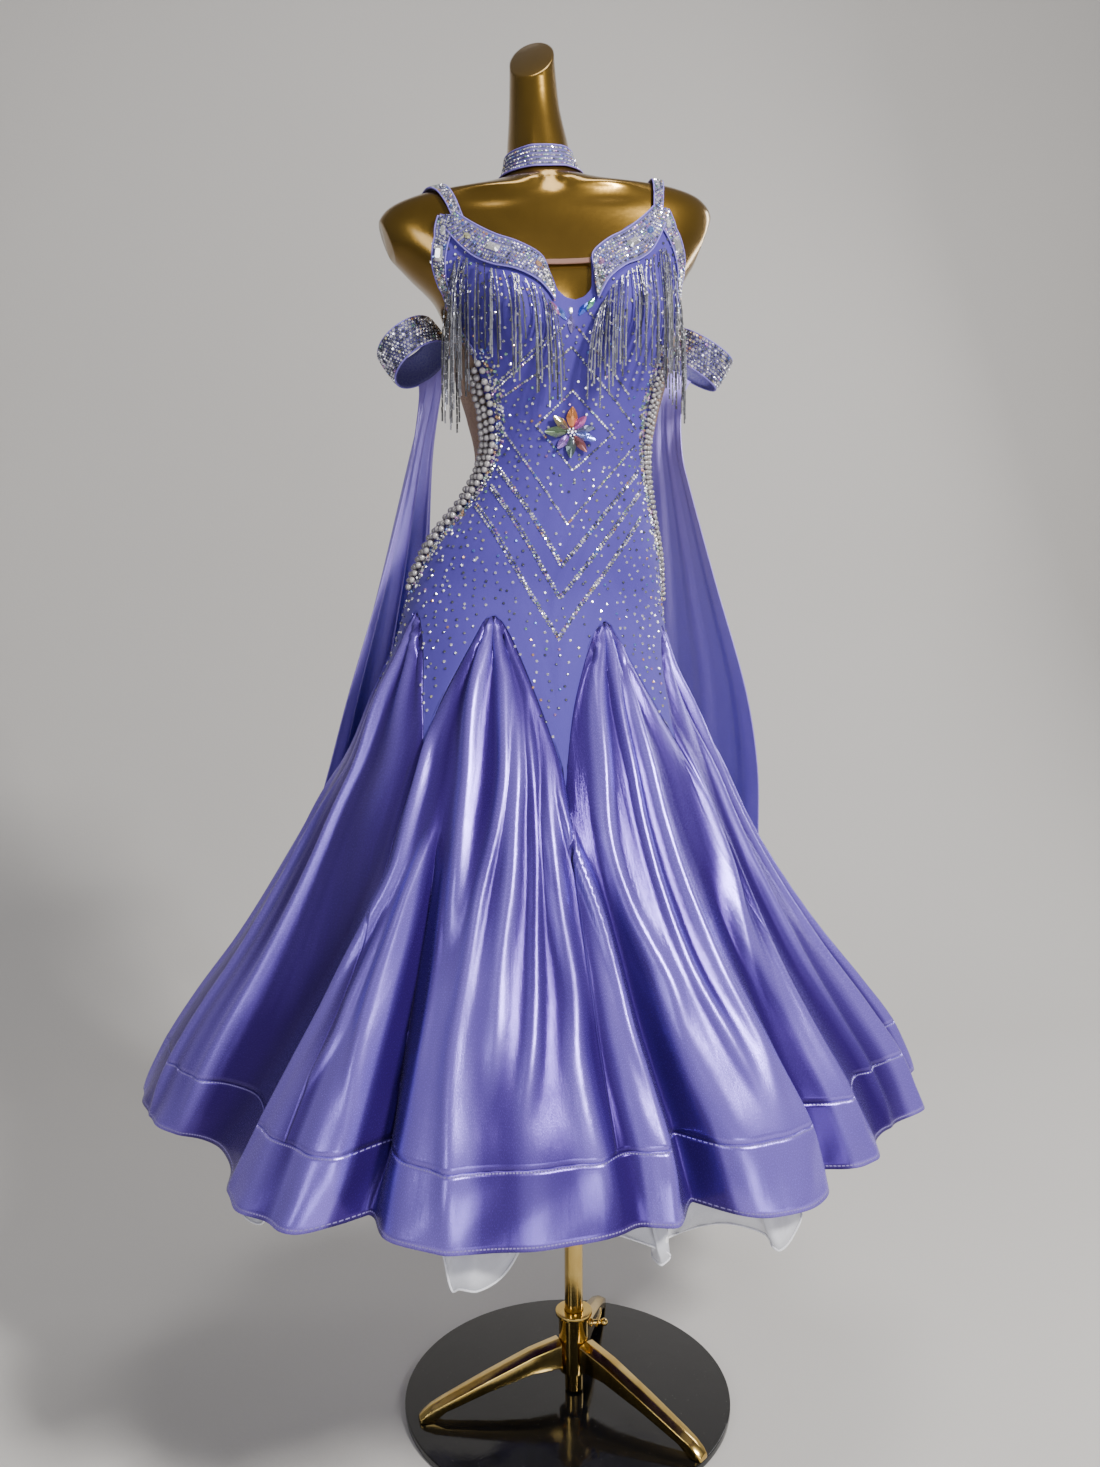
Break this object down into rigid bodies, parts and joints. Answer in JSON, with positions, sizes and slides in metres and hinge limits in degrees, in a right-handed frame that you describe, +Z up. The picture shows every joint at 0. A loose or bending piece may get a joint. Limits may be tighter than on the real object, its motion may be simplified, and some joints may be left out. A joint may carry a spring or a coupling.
{
  "type": "latin dance dress on a dress form",
  "caption": "Lilac crepe and satin dance dress with fringed bust, cut-out waist, godet skirt and arm drapes, worn on a limbless gold dress form with a round-based stand.",
  "frame": {"origin": "on the pole's axis, at the underside of the round base", "axes": "+Z up along the pole, the dress faces -Y, +X to the viewer's right"},
  "size_m": [0.9963, 0.8677, 1.7319],
  "materials": {
    "gold_paint": "gold-painted, semi-gloss, lightly mottled",
    "polished_brass": "polished",
    "gloss_black": "high gloss",
    "lilac_crepe": "matte stretch crepe, set with small stones",
    "lilac_satin": "high-gloss satin",
    "nude_mesh": "sheer stretch mesh",
    "white_organza": "stiff sheer organza",
    "stoned_crepe": "crepe covered with clear and pearly stones",
    "nude_elastic": "matte elastic",
    "pearl": "pearlised",
    "silver_bugles": "silver-lined glass bugle beads",
    "crystal": "faceted, foil-backed"
  },
  "bodies": {
    "stand": {"base_disc": "gloss_black", "stand_leg_1": "polished_brass", "stand_leg_2": "polished_brass", "stand_leg_3": "polished_brass", "stand_sleeve": "polished_brass"},
    "clamp": {"clamp_screw": "polished_brass"},
    "raised_pole": {"pole": "polished_brass"},
    "dressed_form": {"form_torso": "gold_paint", "bodice_front": "lilac_crepe", "bodice_back": "lilac_crepe", "side_mesh_left": "nude_mesh", "side_mesh_right": "nude_mesh", "godet_front_left": "lilac_satin", "godet_front_right": "lilac_satin", "godet_side_front_left": "lilac_satin", "godet_side_front_right": "lilac_satin", "godet_side_back_left": "lilac_satin", "godet_side_back_right": "lilac_satin", "godet_back_left": "lilac_satin", "godet_back_right": "lilac_satin", "hem_band": "lilac_satin", "petticoat": "white_organza", "lapel_left": "stoned_crepe", "lapel_right": "stoned_crepe", "armhole_band_left": "stoned_crepe", "armhole_band_right": "stoned_crepe", "strap_left": "stoned_crepe", "strap_right": "stoned_crepe", "pearl_edge_left": "pearl", "pearl_edge_right": "pearl", "keyhole_elastic": "nude_elastic", "fringe_left": "silver_bugles", "fringe_right": "silver_bugles", "choker": "stoned_crepe", "armband_left": "stoned_crepe", "armband_right": "stoned_crepe", "float_left": "lilac_satin", "float_right": "lilac_satin", "flower_brooch": "crystal"}
  },
  "joints": [
    {"name": "pole_height", "type": "slide", "parent": "stand", "child": "raised_pole", "axis": [0, 0, 1], "range_m": [0, 0.07]},
    {"name": "form_turn", "type": "hinge", "parent": "raised_pole", "child": "dressed_form", "pos_m": [0, 0, 0.88], "axis": [0, 0, 1], "continuous": true},
    {"name": "clamp_turn", "type": "hinge", "parent": "stand", "child": "clamp", "pos_m": [0.02005, -0.00318, 0.103], "axis": [0.9877, -0.1564, 0], "range_deg": [0, 360]}
  ]
}
